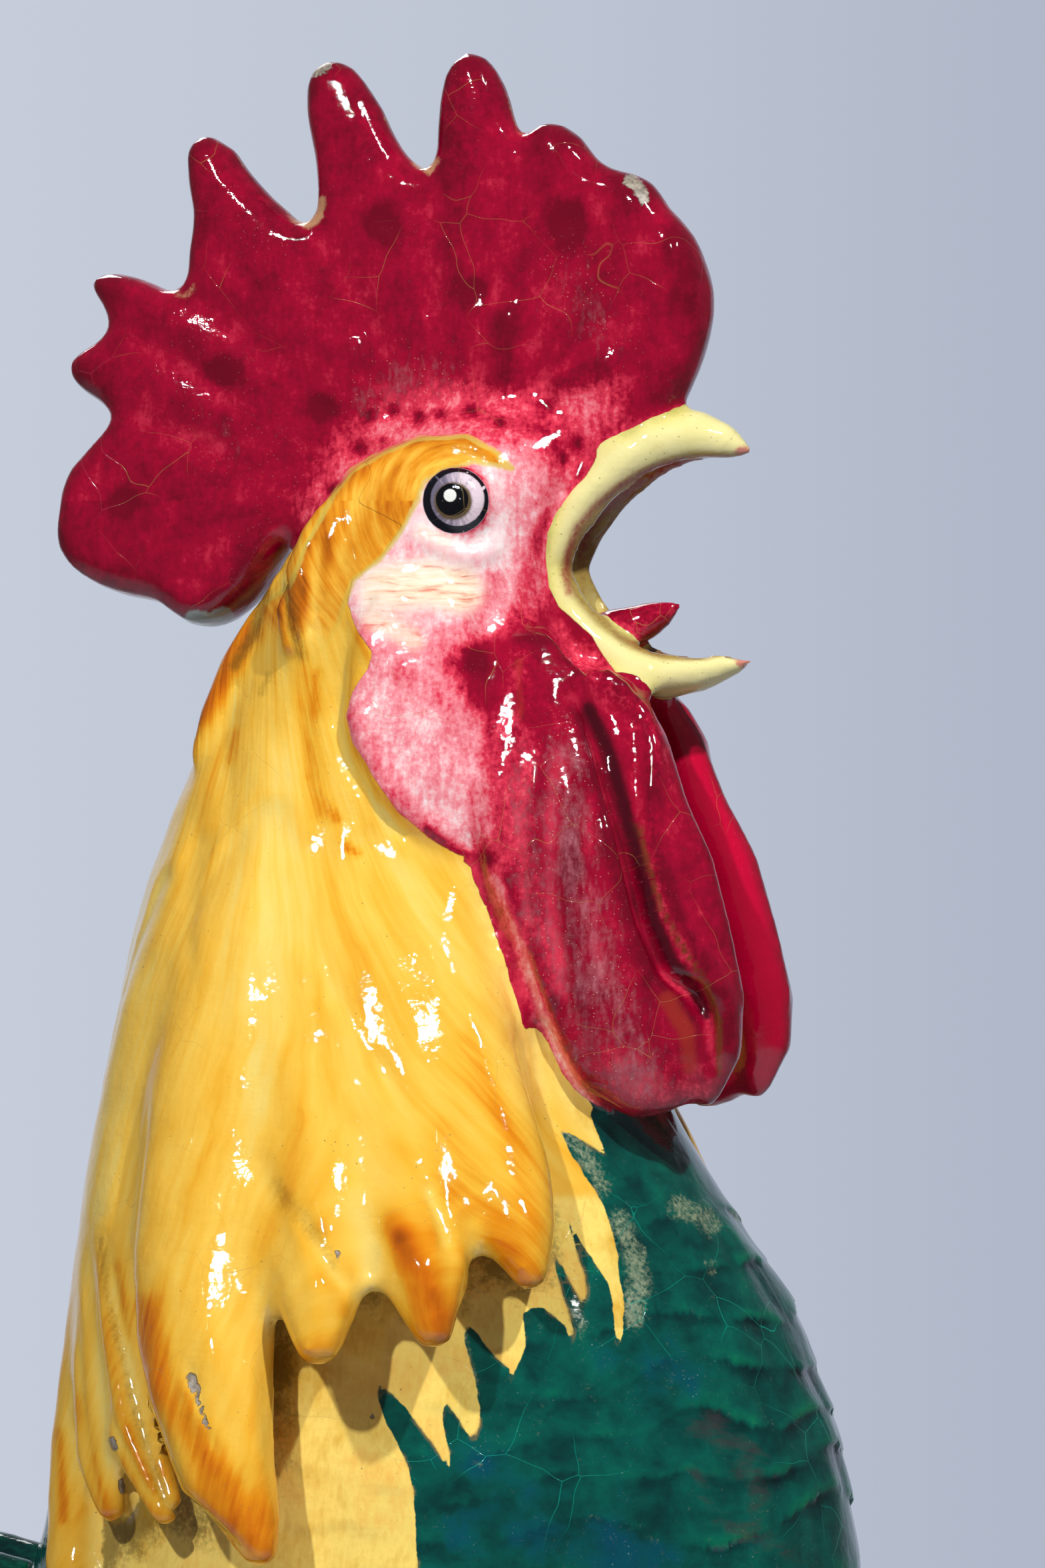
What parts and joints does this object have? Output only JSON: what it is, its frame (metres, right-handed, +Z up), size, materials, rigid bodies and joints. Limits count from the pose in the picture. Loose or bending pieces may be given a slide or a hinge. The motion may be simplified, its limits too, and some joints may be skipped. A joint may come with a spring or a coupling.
{
  "type": "rooster figurine",
  "caption": "Standing crowing rooster figurine in glazed faience, with an open beak, a toothed comb, hanging wattles, thick neck feathers and a domed mound to stand on.",
  "frame": {"origin": "centre of the bounding box's underside, where the mound stands on a surface", "axes": "+Z up, +X the way the bird faces, -Y its right side"},
  "size_m": [0.3116, 0.1828, 0.6402],
  "materials": {
    "moss": "gloss",
    "emerald": "gloss",
    "yellow": "gloss",
    "flesh": "gloss",
    "crimson": "gloss",
    "lemon": "gloss",
    "tail": "gloss",
    "amber": "gloss",
    "eye": "gloss",
    "bronze": "gloss"
  },
  "bodies": {
    "root": {"base": "moss", "support_tuft": "moss", "torso": "emerald", "neck": "yellow", "head": "flesh", "comb": "crimson", "upper_beak": "lemon", "lower_beak": "lemon", "tongue": "crimson", "tail_core": "tail", "leg_r": "lemon", "leg_l": "lemon", "foot_r": "lemon", "foot_l": "lemon", "spur_r": "amber", "spur_l": "amber", "wing_r": "amber", "wing_l": "amber", "eye_r": "eye", "eye_l": "eye", "lobe_r": "flesh", "lobe_l": "flesh", "wattle_r": "crimson", "wattle_l": "crimson", "lock_a_r": "yellow", "lock_a_l": "yellow", "lock_b_r": "yellow", "lock_b_l": "yellow", "lock_c_r": "yellow", "lock_c_l": "yellow", "lock_d_r": "yellow", "lock_d_l": "yellow", "lock_e_r": "yellow", "lock_e_l": "yellow", "lock_f_r": "yellow", "lock_f_l": "yellow", "lock_g_r": "yellow", "lock_g_l": "yellow", "nape_lock_a_r": "amber", "nape_lock_a_l": "amber", "nape_lock_b_r": "amber", "nape_lock_b_l": "amber", "sickle_a_r": "tail", "sickle_a_l": "tail", "sickle_b_r": "tail", "sickle_b_l": "tail", "sickle_c_r": "tail", "sickle_c_l": "tail", "tail_feather_a_r": "tail", "tail_feather_a_l": "tail", "tail_feather_b_r": "tail", "tail_feather_b_l": "tail", "saddle_a_r": "bronze", "saddle_a_l": "bronze", "saddle_b_r": "bronze", "saddle_b_l": "bronze"}
  },
  "joints": []
}
